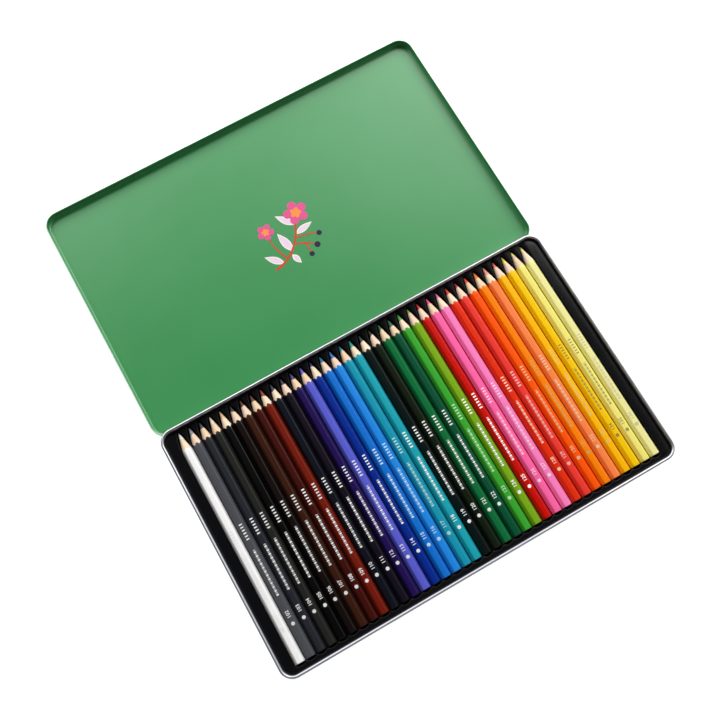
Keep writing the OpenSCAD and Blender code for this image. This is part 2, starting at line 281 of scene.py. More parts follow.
def wireFinish():
    # Drawn steel wire: the die leaves faint lines along it, 0.2 mm apart, so it is a soft metal
    finish, place = newFinish("drawn_steel_wire")
    drawn = addNode(finish, "ShaderNodeMapping", {"Vector": place, "Scale": (60, 5000, 5000)})
    line = addNode(finish, "ShaderNodeTexNoise", {"Vector": drawn.outputs[0], "Scale": 1.0})
    rough = addNode(finish, "ShaderNodeMapRange", {"Value": line.outputs[0], "To Min": 0.22, "To Max": 0.42})
    surface = addNode(finish, "ShaderNodeBsdfPrincipled", {
        "Base Color": linear("#B9B9BC"), "Metallic": 1.0, "Roughness": rough.outputs[0]})
    addNode(finish, "ShaderNodeOutputMaterial", {"Surface": surface.outputs[0]})
    return finish


def polystyreneFinish():
    # Black high-impact polystyrene, vacuum-formed: a soft sheen that varies over 20 mm and a
    # haircell grain of 0.6 mm
    finish, place = newFinish("vacuum_formed_polystyrene")
    grain = addNode(finish, "ShaderNodeTexNoise", {"Vector": place, "Scale": 1600.0, "Detail": 2.0})
    warp = addNode(finish, "ShaderNodeTexNoise", {"Vector": place, "Scale": 45.0, "Detail": 1.0})
    rough = addNode(finish, "ShaderNodeMapRange", {"Value": warp.outputs[0], "To Min": 0.15, "To Max": 0.21})
    bump = addNode(finish, "ShaderNodeBump", {
        "Height": grain.outputs[0], "Strength": 0.18, "Distance": 0.0001})
    surface = addNode(finish, "ShaderNodeBsdfPrincipled", {
        "Base Color": linear("#0D0D0F"), "Roughness": rough.outputs[0], "Specular IOR Level": 0.2,
        "Normal": bump.outputs[0]})
    addNode(finish, "ShaderNodeOutputMaterial", {"Surface": surface.outputs[0]})
    return finish


def lacquerFinish(name, color):
    # Pencil lacquer: several thin coats drawn along the barrel, glossy, with faint streaks 0.45 mm
    # wide and 40 mm long
    finish, place = newFinish(name + "_pencil_lacquer")
    drawn = addNode(finish, "ShaderNodeMapping", {"Vector": place, "Scale": (2200, 25, 2200)})
    streak = addNode(finish, "ShaderNodeTexNoise", {"Vector": drawn.outputs[0], "Scale": 1.0, "Detail": 3.0})
    deep = addNode(finish, "ShaderNodeHueSaturation", {"Color": linear(color), "Value": 0.93})
    shade = addNode(finish, "ShaderNodeMix", {0: streak.outputs[0], 6: deep.outputs[0],
                                              7: linear(color)}, data_type="RGBA")
    bump = addNode(finish, "ShaderNodeBump", {
        "Height": streak.outputs[0], "Strength": 0.12, "Distance": 0.0001})
    surface = addNode(finish, "ShaderNodeBsdfPrincipled", {
        "Base Color": shade.outputs[2], "Roughness": 0.3, "Specular IOR Level": 0.12,
        "Normal": bump.outputs[0], "Coat Weight": 0.1, "Coat Roughness": 0.12})
    addNode(finish, "ShaderNodeOutputMaterial", {"Surface": surface.outputs[0]})
    return finish


def cedarFinish(name, pale, dark):
    # Incense cedar cut by the sharpener: dry and matt, with straight grain along the pencil, which is
    # finer in real wood and drawn 0.36 mm wide so that it shows
    finish, place = newFinish(name)
    along = addNode(finish, "ShaderNodeMapping", {"Vector": place, "Scale": (2800, 110, 2800)})
    fibre = addNode(finish, "ShaderNodeTexNoise", {"Vector": along.outputs[0], "Scale": 1.0, "Detail": 4.0})
    shade = addNode(finish, "ShaderNodeMix", {0: fibre.outputs[0], 6: linear(dark),
                                              7: linear(pale)}, data_type="RGBA")
    bump = addNode(finish, "ShaderNodeBump", {
        "Height": fibre.outputs[0], "Strength": 0.4, "Distance": 0.0001})
    surface = addNode(finish, "ShaderNodeBsdfPrincipled", {
        "Base Color": shade.outputs[2], "Roughness": 0.72, "Normal": bump.outputs[0]})
    addNode(finish, "ShaderNodeOutputMaterial", {"Surface": surface.outputs[0]})
    return finish


def leadFinish(name, color):
    # Wax and pigment core: a dense waxy colour with a dull shine where the sharpener cut it, and a
    # grit that is finer in a real lead and drawn 0.7 mm wide so that it shows
    finish, place = newFinish(name + "_wax_lead")
    cut = addNode(finish, "ShaderNodeMapping", {"Vector": place, "Scale": (1500, 700, 1500)})
    grit = addNode(finish, "ShaderNodeTexNoise", {"Vector": cut.outputs[0], "Scale": 1.0, "Detail": 3.0})
    bump = addNode(finish, "ShaderNodeBump", {
        "Height": grit.outputs[0], "Strength": 0.3, "Distance": 0.0001})
    surface = addNode(finish, "ShaderNodeBsdfPrincipled", {
        "Base Color": linear(color), "Roughness": 0.48, "Normal": bump.outputs[0]})
    addNode(finish, "ShaderNodeOutputMaterial", {"Surface": surface.outputs[0]})
    return finish


def foilFinish(name, color):
    # Silver hot-stamping foil: satin aluminium, pressed a little unevenly every 1.4 mm; where a pencil
    # gives it a tinted colour, that colour is a painted reflection of how the silver looks there
    finish, place = newFinish(name)
    pressed = addNode(finish, "ShaderNodeTexNoise", {"Vector": place, "Scale": 700.0, "Detail": 2.0})
    bump = addNode(finish, "ShaderNodeBump", {
        "Height": pressed.outputs[0], "Strength": 0.5, "Distance": 0.0002})
    surface = addNode(finish, "ShaderNodeBsdfPrincipled", {
        "Base Color": linear(color), "Metallic": 0.5, "Roughness": 0.42, "Normal": bump.outputs[0]})
    addNode(finish, "ShaderNodeOutputMaterial", {"Surface": surface.outputs[0]})
    return finish


def inkFinish(name, color):
    # Screen-printed enamel ink: opaque and half gloss, with the screen's mesh, which is finer in
    # real prints and drawn 0.8 mm wide so that it shows
    finish, place = newFinish(name)
    mesh = addNode(finish, "ShaderNodeTexNoise", {"Vector": place, "Scale": 1200.0, "Detail": 1.0})
    bump = addNode(finish, "ShaderNodeBump", {
        "Height": mesh.outputs[0], "Strength": 0.1, "Distance": 0.0001})
    surface = addNode(finish, "ShaderNodeBsdfPrincipled", {
        "Base Color": linear(color), "Roughness": 0.45, "Specular IOR Level": 0.25,
        "Normal": bump.outputs[0]})
    addNode(finish, "ShaderNodeOutputMaterial", {"Surface": surface.outputs[0]})
    return finish


def solid(piece, thickness, sharpAngle=35.0, offset=0.0, even=True):
    # gives a sheet its thickness, half to each side or, with offset -1, all of it behind the face,
    # and keeps the result as a plain mesh
    wall = piece.modifiers.new("sheet", "SOLIDIFY")
    wall.thickness, wall.offset, wall.use_even_offset = thickness * mm, offset, even
    shown = piece.evaluated_get(bpy.context.evaluated_depsgraph_get())
    mesh = bpy.data.meshes.new_from_object(shown)
    piece.modifiers.clear()
    piece.data = mesh
    mesh.set_sharp_from_angle(angle=math.radians(sharpAngle))
    return piece


def roundedLoop(width, depth, radius, steps, stops=()):
    # columns round a rectangle with round corners: a point on the corner centres' rectangle and the
    # direction outwards from it; stops are extra places along X on the front and the back
    halfX, halfY = width / 2 - radius, depth / 2 - radius
    quarter = np.radians(np.linspace(0, 90, steps + 1))
    inside = np.sort([stop for stop in stops if abs(stop) < halfX])
    corners = ((halfX, halfY), (-halfX, halfY), (-halfX, -halfY), (halfX, -halfY))
    base, turn = [], []
    for k, corner in enumerate(corners):
        base.append(np.tile(corner, (quarter.size, 1)))
        turn.append(quarter + k * math.pi / 2)
        if k % 2 == 0:
            along = inside[::-1] if k == 0 else inside
            base.append(np.column_stack([along, np.full(along.size, corner[1])]))
            turn.append(np.full(along.size, (k + 1) * math.pi / 2))
    turn = np.concatenate(turn)
    return np.concatenate(base), np.column_stack([np.cos(turn), np.sin(turn)])


def carried(profile, loop):
    # a profile carried round a loop: each of its points, (outwards, height), gives a row of points
    base, outward = loop
    return [np.column_stack([base + out * outward, np.full(len(base), height)])
            for out, height in profile]


def panPoints(profile, loop, middle, width, depth):
    # a pan's sheet: a row along the panel's middle line, which closes it, and then the profile's rows
    x = np.clip(loop[0][:, 0], (depth - width) / 2, (width - depth) / 2)
    spine = np.column_stack([x, 0 * x, 0 * x + profile[0][1]])
    return np.stack([spine, *carried(profile, loop)]) + (0, middle, 0)


def arcPoints(center, radius, start, end, steps):
    turn = np.radians(np.linspace(start, end, steps + 1))
    return np.column_stack([center[0] + radius * np.cos(turn), center[1] + radius * np.sin(turn)]).tolist()


basePan = {
    "sheet": 0.3, "cornerRadius": 10.0, "cornerSteps": 14, "floorBend": 1.5, "bendSteps": 8,
    "wallMiddle": 5.0, "beadWidth": 2.4, "beadEnd": -125.0, "beadSteps": 34,
}


def makeBasePan(finish):
    # floor, bend, wall and a bead that rolls outwards and down
    low, high = nodeBox("base_pan")
    width, depth = high[0] - low[0], -2 * low[1]
    sheet, bead, bend = basePan["sheet"], basePan["beadWidth"] / 2, basePan["floorBend"]
    wall = basePan["cornerRadius"] - basePan["beadWidth"] + sheet / 2
    profile = [(0, sheet / 2),
               *arcPoints((wall + sheet / 2 - bend, bend), bend - sheet / 2, -90, 0, basePan["bendSteps"]),
               (wall, basePan["wallMiddle"]),
               *arcPoints((wall - sheet / 2 + bead, high[2] - bead), bead - sheet / 2, 180,
                          basePan["beadEnd"], basePan["beadSteps"])]
    loop = roundedLoop(width, depth, basePan["cornerRadius"], basePan["cornerSteps"], [0])
    points = panPoints(profile, loop, 0, width, depth)
    cells = gridQuads(*points.shape[:2], wrapColumns=True)
    return solid(makePiece("tinplate_base", points, cells, [finish], closed=False), sheet)


# each of the two hinges is a short wire with a knuckle of the lid round its middle and one of the base
# round each end; a knuckle's leaf is given as distances outside its curl and heights over the axis
hinge = {
    "spacing": 180.0, "length": 30.0, "baseKnuckle": 8.0, "knuckleGap": 0.4, "curlSheet": 0.36,
    "curlRadius": 1.2, "curlEnd": 495.0, "curlSteps": 26, "leafPath": ((0.25, 2.6), (0.2, 1.6), (0.05, 0.7)),
    "wireSides": 32, "wireEdge": 0.2,
}


def hingeSpot():  # where the hinge axis lies, as (y, z)
    low, high = nodeBox("hinge_wire_left")
    return (low[1] + high[1]) / 2, (low[2] + high[2]) / 2


def makeCurls(name, finish, spans, upward):
    # knuckles: a tab that runs along the wall and curls round the wire; upward tabs belong to the
    # base and reach up its back wall, the others rise from the lid's skirt
    axis, radius = np.array(hingeSpot()), hinge["curlRadius"]
    path = [(-radius - out, rise) for out, rise in hinge["leafPath"]]
    path += arcPoints((0, 0), radius, 180, hinge["curlEnd"], hinge["curlSteps"])
    path = axis + np.array(path) * (1, 1 if upward else -1)
    points, cells = [], []
    for k, ends in enumerate(spans):
        x = np.broadcast_to(np.array(ends)[None, :, None], (len(path), 2, 1))
        strip = np.concatenate([x, np.broadcast_to(path[:, None, :], (len(path), 2, 2))], axis=2)
        points.append(strip.reshape(-1, 3))
        cells.append(gridQuads(len(path), 2) + 2 * len(path) * k)
    piece = makePiece(name, np.concatenate(points), np.concatenate(cells), [finish], closed=False)
    return solid(piece, hinge["curlSheet"])


def knuckleSpans(inner):  # ends along X of the lid's middle knuckles, or of the base's outer ones
    knuckle, gap = hinge["baseKnuckle"], hinge["knuckleGap"]
    reach = hinge["length"] / 2 - knuckle
    spans = []
    for middle in (-hinge["spacing"] / 2, hinge["spacing"] / 2):
        if inner:
            spans.append((middle - reach + gap, middle + reach - gap))
        else:
            spans += [(middle - reach - knuckle, middle - reach), (middle + reach, middle + reach + knuckle)]
    return spans


def makeWire(name, node, finish):
    # a straight rod along X with broken edges
    low, high = nodeBox(node)
    radius, edge = (high[2] - low[2]) / 2, hinge["wireEdge"]
    y, z = hingeSpot()
    ends = [(low[0], 0), (low[0], radius - edge), (low[0] + edge, radius),
            (high[0] - edge, radius), (high[0], radius - edge), (high[0], 0)]
    turn = np.linspace(0, 2 * math.pi, hinge["wireSides"], endpoint=False)
    points = np.stack([np.column_stack([np.full(turn.size, x), y + r * np.cos(turn), z + r * np.sin(turn)])
                       for x, r in ends])
    return makePiece(name, points, gridQuads(len(ends), turn.size, wrapColumns=True), [finish])


# the dimples are pressed into a band of the front skirt, and the notches leave the base's knuckles room
lidPan = {
    "sheet": 0.3, "cornerRadius": 10.9, "cornerSteps": 14, "bend": 2.8, "bendSteps": 10,
    "hemHeight": 1.5, "hemFold": 0.5, "hemSteps": 8, "crownRows": (2, 8),
    "dimpleSpacing": 178.0, "dimpleLength": 12.0, "dimpleDrop": 2.6, "dimpleWidth": 1.9, "dimpleDepth": 0.35,
    "dimpleBand": 2.0, "dimpleRows": 11, "dimpleColumns": 21, "notchBelowCurl": 0.6, "notchReach": 1.5,
}


def dimpleDepth(x, height):
    # how far the snap dimples press the skirt inwards: a long smooth swell with round ends
    half = (lidPan["dimpleLength"] - lidPan["dimpleWidth"]) / 2
    away = np.hypot(np.maximum(0, np.abs(np.abs(x) - lidPan["dimpleSpacing"] / 2) - half), height)
    share = np.clip(1 - 2 * away / lidPan["dimpleWidth"], 0, 1)
    return lidPan["dimpleDepth"] * np.sin(share * math.pi / 2) ** 2


def makeLidPan(finish, hemHighlight):
    # panel, bend and skirt, whose edge folds inwards over itself as the hem
    low, high = nodeBox("lid_pan")
    hingeY, rim = hingeSpot()
    middle = 2 * hingeY
    width, depth = high[0] - low[0], 2 * (high[1] - middle)
    sheet, fold, bend = lidPan["sheet"], lidPan["hemFold"], lidPan["bend"]
    wall, hemFoot = lidPan["cornerRadius"] - sheet / 2, rim - lidPan["hemHeight"]
    dimpleAt, band = rim - lidPan["dimpleDrop"], lidPan["dimpleBand"] / 2
    profile = [(0, sheet / 2),
               *arcPoints((wall + sheet / 2 - bend, bend), bend - sheet / 2, -90, 0, lidPan["bendSteps"])]
    firstDimpleRow = len(profile) + 1  # one more than in the profile, for the row along the middle line
    heights = np.linspace(dimpleAt - band, dimpleAt + band, lidPan["dimpleRows"])
    profile += [(wall, height) for height in heights]
    lastDimpleRow = len(profile) + 1
    profile.append((wall, hemFoot))
    # rows of cells over the top of the fold, which take the paler hem colour as a painted highlight
    crown = len(profile) + np.arange(*lidPan["crownRows"])
    profile += arcPoints((wall - fold / 2, rim - (fold + sheet) / 2), fold / 2, 0, 180, lidPan["hemSteps"])
    profile.append((wall - fold, hemFoot))
    # columns across each dimple and at the edges of each notch
    swell = np.linspace(-lidPan["dimpleLength"] / 2, lidPan["dimpleLength"] / 2, lidPan["dimpleColumns"])
    fromHinge = (hinge["length"] - hinge["baseKnuckle"]) / 2
    notchHalf = hinge["baseKnuckle"] / 2 + hinge["knuckleGap"]
    notches = [side * hinge["spacing"] / 2 + way * fromHinge + end * notchHalf
               for side in (-1, 1) for way in (-1, 1) for end in (-1, 1)]
    fromMiddle = lidPan["dimpleSpacing"] / 2
    stops = np.concatenate([swell - fromMiddle, swell + fromMiddle, notches])
    loop = roundedLoop(width, depth, lidPan["cornerRadius"], lidPan["cornerSteps"], stops)
    points = panPoints(profile, loop, middle, width, depth)
    skirt = points[firstDimpleRow:lastDimpleRow]
    pressed = dimpleDepth(skirt[..., 0], skirt[..., 2] - dimpleAt)
    skirt[..., 1] -= np.where(np.isclose(loop[1][:, 1], 1), pressed, 0)
    cells = gridQuads(*points.shape[:2], wrapColumns=True)
    x, y, z = points.reshape(-1, 3)[cells].mean(axis=1).T
    fromKnuckle = np.abs(np.abs(np.abs(x) - hinge["spacing"] / 2) - fromHinge)
    notched = ((y < middle - depth / 2 + lidPan["notchReach"]) & (fromKnuckle < notchHalf)
               & (z > rim - hinge["curlRadius"] - lidPan["notchBelowCurl"]))
    # the cells over the fold's crown take the painted highlight finish
    isCrown = np.isin(np.arange(len(cells)) // points.shape[1], crown)
    pan = makePiece("enamelled_lid", points, cells[~notched], [finish, hemHighlight],
                    isCrown[~notched].astype(int), closed=False)
    return solid(pan, sheet)


tinplate, enamel, drawnWire = tinplateFinish(), enamelFinish(), wireFinish()
tinPieces = (
    (makeBasePan(tinplate), "base", "base_pan", "bright_tinplate"),
    (makeCurls("base_knuckles", tinplate, knuckleSpans(False), True), "base", None, "bright_tinplate"),
    (makeLidPan(enamel, hemHighlightFinish()), "lid", "lid_pan", "green_tinplate"),
    (makeCurls("lid_knuckles", enamel, knuckleSpans(True), False), "lid", None, "green_tinplate"),
    (makeWire("left_wire", "hinge_wire_left", drawnWire), "base", "hinge_wire_left", "hinge_wire"),
    (makeWire("right_wire", "hinge_wire_right", drawnWire), "base", "hinge_wire_right", "hinge_wire"),
)
for piece, body, node, slot in tinPieces:
    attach(piece, body)
    if node:
        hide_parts(node)
print("tin: tinplate base, enamelled lid, curled knuckles and two wires")


# printed sprig inside the lid: a stem and twigs as start, control and end points, leaves as root, tip
# and width, blooms as middle, radius and turn, berries as middle and radius, all from the sprig's middle
sprig = {
    "middle": (-1.5, 182.0), "lift": 0.004, "ink": 0.02, "overprint": 0.002,
    "stem": ((-21, -18), (1, -15), (11, 13)), "stemWidth": 1.7, "stemEnd": 0.8,
    "twigRoot": 0.7, "twigEnd": 0.5,
    "twigs": (((-9, -14), (-15, -4), (-14, 8)), ((1, -7), (9, -9), (15, -15)), ((4, -3), (14, -4), (20, -7)),
              ((7, -9), (9, -13), (8, -19))),
    "leaves": (((-13, -16), (-24, -5), 5.6), ((-3, -11), (-7, 7), 6.4), ((-5, -13), (-2, -22), 4.6),
               ((5, 0), (20, 3), 5.2), ((8, 7), (-2, 20), 5.6)),
    "leafEdge": 0.75, "leafEdgeAtTips": 1.6, "leafFullness": 0.85,
    "blooms": (((13, 15), 9.5, 20.0), ((-14, 12), 6.6, 50.0)),
    "petals": 5, "petalRoot": 0.5, "petalRoundness": 0.55, "centerShare": 0.45,
    "berries": (((15, -15), 2.3), ((20.5, -7.5), 2.0), ((8, -19.5), 2.0)),
    "curveSteps": 14, "leafSteps": 16, "bloomSteps": 100, "berrySteps": 28,
    "cream": "#EDE6DC", "lilac": "#E2CBDD", "stemRed": "#C63A18", "pink": "#D84E8A",
    "orange": "#EE8C3E", "navy": "#15172E",
}


def bowed(start, control, end):  # a quadratic curve from start to end
    t = np.linspace(0, 1, sprig["curveSteps"])[:, None]
    return (1 - t) ** 2 * np.array(start) + 2 * t * (1 - t) * np.array(control) + t ** 2 * np.array(end)


def besides(path):  # unit vectors to the left of each point of a path
    along = np.gradient(path, axis=0)
    along /= np.linalg.norm(along, axis=1)[:, None]
    return np.column_stack([-along[:, 1], along[:, 0]])


def ribbon(path, startShare, endShare):  # outline of a tapering line, its widths as shares of the stem's
    width = sprig["stemWidth"] * np.linspace(startShare, endShare, len(path))[:, None]
    side = besides(path) * width / 2
    return np.concatenate([path - side, (path + side)[::-1]])


def leafOutline(root, tip, width, inset=0.0):
    # two bowed edges that meet in a point at each end; an inset brings them in all round
    root, tip = np.array(root, float), np.array(tip, float)
    along = (tip - root) / np.linalg.norm(tip - root)
    trim = along * inset * sprig["leafEdgeAtTips"]
    t = np.linspace(0, 1, sprig["leafSteps"])[:, None]
    spine = root + trim + t * (tip - root - 2 * trim)
    swell = (width / 2 - inset) * np.sin(math.pi * t ** sprig["leafFullness"])
    side = np.array([-along[1], along[0]]) * swell
    return np.concatenate([spine - side, (spine + side)[-2:0:-1]])


def ring(center, reachX, reachY, steps):  # points round an ellipse; an array as reach makes it wavy
    turn = np.linspace(0, 2 * math.pi, steps, endpoint=False)
    return np.column_stack([center[0] + reachX * np.cos(turn), center[1] + reachY * np.sin(turn)])


def bloomOutline(center, radius, turn):  # a ring of round petals with narrow notches between them
    t = np.linspace(0, 2 * math.pi, sprig["bloomSteps"], endpoint=False)
    swell = np.abs(np.cos(sprig["petals"] / 2 * (t - math.radians(turn)))) ** sprig["petalRoundness"]
    reach = radius * (sprig["petalRoot"] + (1 - sprig["petalRoot"]) * swell)
    return ring(center, reach, reach, sprig["bloomSteps"])


def makeSprig():
    panel = nodeBox("lid_pan")[0][2] + lidPan["sheet"]

    def place(points):
        return points + (*sprig["middle"], panel)

    stems = [ribbon(bowed(*sprig["stem"]), 1, sprig["stemEnd"])]
    stems += [ribbon(bowed(*twig), sprig["twigRoot"], sprig["twigEnd"]) for twig in sprig["twigs"]]
    halfPetal = 180 / sprig["petals"]
    inks = (
        ("leaf_edges", "cream", [leafOutline(*leaf) for leaf in sprig["leaves"]]),
        ("leaf_blades", "lilac", [leafOutline(*leaf, sprig["leafEdge"]) for leaf in sprig["leaves"]]),
        ("stems", "stemRed", stems),
        ("berries", "navy", [ring(middle, radius, radius, sprig["berrySteps"])
                             for middle, radius in sprig["berries"]]),
        ("blooms", "pink", [bloomOutline(*bloom) for bloom in sprig["blooms"]]),
        ("bloom_centers", "orange", [bloomOutline(middle, radius * sprig["centerShare"], turn + halfPetal)
                                     for middle, radius, turn in sprig["blooms"]]),
    )
    pieces = []
    for layer, (name, color, outlines) in enumerate(inks):
        top = sprig["lift"] + (layer + 1) * sprig["ink"]
        pieces.append(slabPiece("sprig_" + name, outlines, sprig["lift"], top,
                                inkFinish("screen_print_" + name, sprig[color]), place, sprig["overprint"]))
    return pieces


for piece in makeSprig():
    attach(piece, "lid")
print("sprig: six inks")


# barrel rings are given as shares of its length, and each pencil is rolled a little in its groove
pencil = {
    "cornerArc": 1.1, "flatSteps": 6, "cornerSteps": 5, "lacquerCoat": 0.06, "buttChamfer": 0.25,
    "barrelRings": (0.02, 0.25, 0.5, 0.75, 0.98, 1.0), "coneRings": 8, "coneSlope": 0.235,
    "leadRadius": (1.4, 1.85), "leadOffLimit": 0.35, "glueGap": 0.02, "leadRings": 5,
    "bluntRadius": 0.4, "domeRadius": 0.55, "domeTilts": (30, 60, 90), "rollLimit": 3.0,
}
# lacquer and lead of each pencil, by the colour in its node's name
pencilColors = {
    "white": ("#F8F6F5", "#FFFDF8"), "slate_grey": ("#4E4F55", "#94969C"),
    "dark_slate": ("#26282E", "#404550"), "charcoal": ("#242422", "#F2E2C6"),
    "black": ("#060606", "#E0B888"), "umber": ("#140C0A", "#302420"),
    "dark_brown": ("#381A0E", "#5A2E22"), "maroon": ("#3E0E08", "#5C241C"),
    "brick_red": ("#701A0A", "#8A3422"), "blue_black": ("#10121C", "#20263C"),
    "purple_black": ("#140E1A", "#33243F"), "dark_violet": ("#20104E", "#4A3372"),
    "lavender": ("#585CC8", "#6A5CC4"), "ultramarine": ("#042A8A", "#232A6C"),
    "blue": ("#126CC8", "#1C7C9C"), "bright_blue": ("#2084DA", "#1F6FB4"),
    "teal": ("#1892AC", "#1488A0"), "turquoise": ("#1C9EAC", "#2C9C8C"),
    "pine_black": ("#081412", "#16302C"), "olive_black": ("#121C0E", "#232C1C"),
    "green": ("#0E6A38", "#1C7440"), "dark_green": ("#084E32", "#14603C"),
    "bright_green": ("#38A02E", "#46A63C"), "yellow_green": ("#78A618", "#86B42C"),
    "red": ("#C40C02", "#CC2018"), "hot_pink": ("#F864A2", "#F4508E"),
    "light_pink": ("#F880BC", "#F074B0"), "red_orange": ("#DE2C08", "#DC3A1C"),
    "coral_red": ("#E83A30", "#B81C3C"), "orange_red": ("#F85404", "#F0501C"),
    "orange": ("#F88004", "#F48420"), "salmon": ("#F88446", "#EC9A80"),
    "amber": ("#F8B402", "#E86450"), "yellow": ("#F2C404", "#F4E668"),
    "pale_yellow": ("#EEE274", "#F2E880"), "lemon": ("#F0EA9C", "#F4EE98"),
}
cedars = [cedarFinish("cedar_pale", "#F2DEC4", "#E8CCA8"), cedarFinish("cedar_tan", "#EED2B0", "#E0BC94"),
          cedarFinish("cedar_rosy", "#F0D6C0", "#E2BC9E")]
# on these lacquers the foil is given a tinted colour, dark on the yellows, as a painted reflection, and on
# the others it stays bright
foilReflectionColors = {
    "blue": "#D4E8F6", "bright_blue": "#C0E0F4", "teal": "#BCE2E8", "bright_green": "#BCE0B4",
    "hot_pink": "#F8CCDC", "light_pink": "#F8D2E4", "red_orange": "#F0C4B0", "coral_red": "#ECB8AA",
    "orange_red": "#DDB48C", "orange": "#CCA468", "salmon": "#F0C8A8", "amber": "#D8B870",
    "yellow": "#967F42", "pale_yellow": "#989060", "lemon": "#D0C8A8",
}
brightFoil = foilFinish("silver_stamping_foil", "#FFFEFC")


def hexSection(apothem):
    # a hexagon with one flat up and its corners rounded: for each side, points run along the flat
    # and then round a sixty degree arc; given as angle and distance from the middle
    arc, flatSteps, cornerSteps = pencil["cornerArc"], pencil["flatSteps"], pencil["cornerSteps"]
    side = np.radians(90 + 60 * np.arange(6))[:, None]
    half = (apothem - arc) * math.tan(math.radians(30))
    t = np.linspace(half, -half, flatSteps + 1)[None, :]
    flatX = apothem * np.cos(side) + t * np.sin(side)
    flatY = apothem * np.sin(side) - t * np.cos(side)
    turn = side + np.radians(60) * (np.arange(1, cornerSteps) / cornerSteps)[None, :]
    corner = side + math.radians(30)
    reach = (apothem - arc) / math.cos(math.radians(30))
    cornerX = reach * np.cos(corner) + arc * np.cos(turn)
    cornerY = reach * np.sin(corner) + arc * np.sin(turn)
    x = np.concatenate([flatX, cornerX], axis=1).ravel()
    y = np.concatenate([flatY, cornerY], axis=1).ravel()
    return np.arctan2(y, x), np.hypot(x, y)


def pencilSpot(node):  # middle of the butt and the length and apothem of a pencil
    low, high = nodeBox(node)
    middle = (low + high) / 2
    return np.array([middle[0], low[1], middle[2]]), high[1] - low[1], (high[2] - low[2]) / 2


def rodPoints(butt, angle, radii, alongs):
    # rings at these distances and angles round the pencil's axis, which runs along +Y from its butt
    radius = np.array(radii)
    return np.stack([butt[0] + radius * np.cos(angle), butt[1] + np.array(alongs),
                     butt[2] + radius * np.sin(angle)], axis=-1)


def coneAt(radius, length):  # place along the pencil where the sharpened cone has this radius
    return length - (radius - pencil["bluntRadius"]) / pencil["coneSlope"]


def makeCase(body, butt, angle, hexRadius, bore, length, roll, finishes):
    # bore at the butt, butt face, chamfer, barrel, cut edge of the coat, wooden cone and bore; the
    # cone meets the hexagon in scallops, since each ring lies where the cone has its radius
    chamfer, coat = pencil["buttChamfer"], hexRadius - pencil["lacquerCoat"]
    shoulder = coneAt(hexRadius, length)
    radii = [bore, hexRadius - chamfer, hexRadius]
    alongs = [0 * angle, 0 * angle, 0 * angle + chamfer]
    for share in pencil["barrelRings"]:
        radii.append(hexRadius)
        alongs.append(chamfer + share * (shoulder - chamfer))
    lacquerRings = len(radii)
    for share in np.linspace(0, 1, pencil["coneRings"]):
        radii.append(coat + share * (bore - coat))
        alongs.append(coneAt(radii[-1], length))
    quads = gridQuads(len(radii), angle.size, wrapRows=True, wrapColumns=True)
    ringOfQuad = np.repeat(np.arange(len(radii)), angle.size)
    isLacquer = (ringOfQuad >= 1) & (ringOfQuad < lacquerRings)
    return makePiece(body + "_case", rodPoints(butt, angle + roll, radii, alongs), quads, finishes,
                     isLacquer.astype(int))


def makeLead(body, butt, angle, leadRadius, length, roll, finish):
    # a rod whose end carries on the cone and closes in a small dome
    turn = np.linspace(0, 2 * math.pi, angle.size, endpoint=False)
    rodRadius = np.interp(turn, angle, leadRadius, period=2 * math.pi)
    dome = pencil["domeRadius"]
    domeAt = coneAt(dome, length)
    radii, alongs = [0 * turn, rodRadius], [0 * turn, 0 * turn]
    for share in np.linspace(0, 1, pencil["leadRings"]):
        radii.append(rodRadius + share * (dome - rodRadius))
        alongs.append(coneAt(radii[-1], length))
    for tilt in np.radians(pencil["domeTilts"]):
        radii.append(0 * turn + dome * math.cos(tilt))
        alongs.append(0 * turn + domeAt + (length - domeAt) * math.sin(tilt))
    return makePiece(body + "_lead", rodPoints(butt, turn + roll, radii, alongs),
                     gridQuads(len(radii), turn.size, wrapColumns=True), [finish])


def makePencil(node, index):
    _, number, colorName = node.split("_", 2)
    body = "pencil_" + number
    lacquerColor, leadColor = pencilColors[colorName]
    butt, length, apothem = pencilSpot(node)
    roll = math.radians(rng.uniform(-pencil["rollLimit"], pencil["rollLimit"]))
    angle, hexRadius = hexSection(apothem)
    off, offTurn = rng.uniform(0, pencil["leadOffLimit"]), rng.uniform(0, 2 * math.pi)
    coreRadius = rng.uniform(*pencil["leadRadius"])
    # the lead's edge seen from the pencil's axis: a circle whose middle lies off to one side
    leadRadius = (off * np.cos(angle - offTurn)
                  + np.sqrt(coreRadius ** 2 - (off * np.sin(angle - offTurn)) ** 2))
    cedar = cedars[(index * 5 + index // 3) % 3]  # the three woods come in no plain order
    case = makeCase(body, butt, angle, hexRadius, leadRadius + pencil["glueGap"], length, roll,
                    [cedar, lacquerFinish(colorName, lacquerColor)])
    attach(case, body)
    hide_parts(node)
    lead = makeLead(body, butt, angle, leadRadius, length, roll, leadFinish(colorName, leadColor))
    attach(lead, body)
    foil = brightFoil
    # the listed pencils' foil gets its painted reflection colour
    if colorName in foilReflectionColors:
        foil = foilFinish(colorName + "_painted_reflection_foil", foilReflectionColors[colorName])
    return butt, apothem, roll, body, int(number), foil


pencilSpots = [makePencil(node, index) for index, node in enumerate(pencilNodes)]
print("pencils:", len(pencilSpots), "sharpened cases and leads")


# stamped marks on each pencil, from its butt: a dot, the colour's number, a bead-and-reel line, six bars
mark = {
    "lift": 0.004, "foil": 0.015, "dotAt": 24.2, "dotWidth": 2.6, "dotSteps": 20,
    "numberAt": 28.3, "numberSize": 3.5, "numberWeight": 0.08, "numberSpread": 1.06, "numberCurve": 4,
    "firstNumber": 101, "lineStart": 45.5, "beads": 12, "beadPitch": 2.9, "beadLength": 1.35,
    "beadWidth": 1.95, "beadSteps": 12, "reelWidth": 0.27, "reelHeight": 1.6,
    "barStart": 87.5, "bars": 6, "barPitch": 2.2, "barLength": 0.95, "barWidth": 2.2,
}


def bar(middle, length, width):  # four corners of a rectangle
    return np.array([(-1, -1), (1, -1), (1, 1), (-1, 1)]) * (length / 2, width / 2) + (middle, 0)


